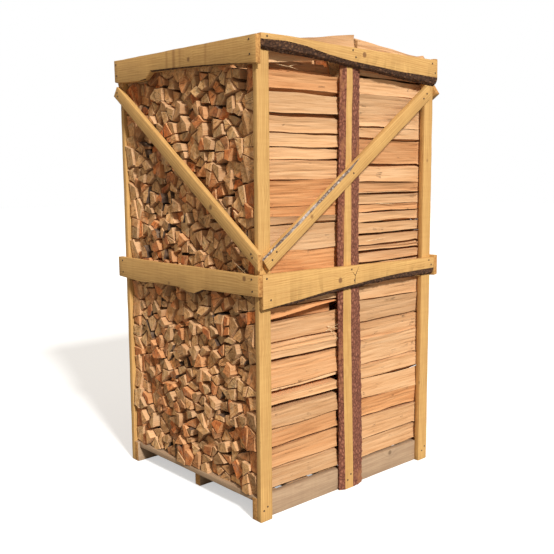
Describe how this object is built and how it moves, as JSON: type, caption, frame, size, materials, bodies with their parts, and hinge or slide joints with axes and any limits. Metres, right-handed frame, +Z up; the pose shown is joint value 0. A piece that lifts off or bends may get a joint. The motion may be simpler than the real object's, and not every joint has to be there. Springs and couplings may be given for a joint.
{
  "type": "pallet of firewood",
  "caption": "Tall crate of sawn spruce on a low pallet base, filled with two rows of split beech logs, with waney rails, slab posts and diagonal braces.",
  "frame": {"origin": "on the ground, in the middle of the crate", "axes": "+Z up, -Y the front face with the log ends, +X the side where the logs lie lengthways"},
  "size_m": [1.1328, 1.2328, 2.176],
  "materials": {
    "sawn_spruce": "rough sawn, pale yellow",
    "waney_slab": "sawn face with bark down both edges",
    "base_boards": "rough sawn, greyed",
    "split_beech": "split along the grain, sawn ends, some bark"
  },
  "bodies": {
    "root": {"brace_back": "sawn_spruce", "brace_front": "sawn_spruce", "brace_left": "sawn_spruce", "brace_right": "sawn_spruce", "deck_board_1": "base_boards", "deck_board_2": "base_boards", "deck_board_3": "base_boards", "deck_board_4": "base_boards", "deck_board_5": "base_boards", "deck_board_6": "base_boards", "log_row_back": "split_beech", "log_row_front": "split_beech", "middle_rail_back": "sawn_spruce", "middle_rail_front": "sawn_spruce", "middle_rail_left": "sawn_spruce", "middle_rail_right": "sawn_spruce", "post_left_back": "sawn_spruce", "post_left_front": "sawn_spruce", "post_left_middle": "waney_slab", "post_right_back": "sawn_spruce", "post_right_front": "sawn_spruce", "post_right_middle": "waney_slab", "runner_middle": "base_boards", "side_plank_left": "base_boards", "side_plank_right": "base_boards", "top_log_back_1": "split_beech", "top_log_back_10": "split_beech", "top_log_back_2": "split_beech", "top_log_back_3": "split_beech", "top_log_back_4": "split_beech", "top_log_back_5": "split_beech", "top_log_back_6": "split_beech", "top_log_back_7": "split_beech", "top_log_back_8": "split_beech", "top_log_back_9": "split_beech", "top_log_front_1": "split_beech", "top_log_front_10": "split_beech", "top_log_front_2": "split_beech", "top_log_front_3": "split_beech", "top_log_front_4": "split_beech", "top_log_front_5": "split_beech", "top_log_front_6": "split_beech", "top_log_front_7": "split_beech", "top_log_front_8": "split_beech", "top_log_front_9": "split_beech", "top_log_loose": "split_beech", "top_rail_back": "sawn_spruce", "top_rail_front": "sawn_spruce", "top_rail_left": "sawn_spruce", "top_rail_right": "sawn_spruce"}
  },
  "joints": []
}
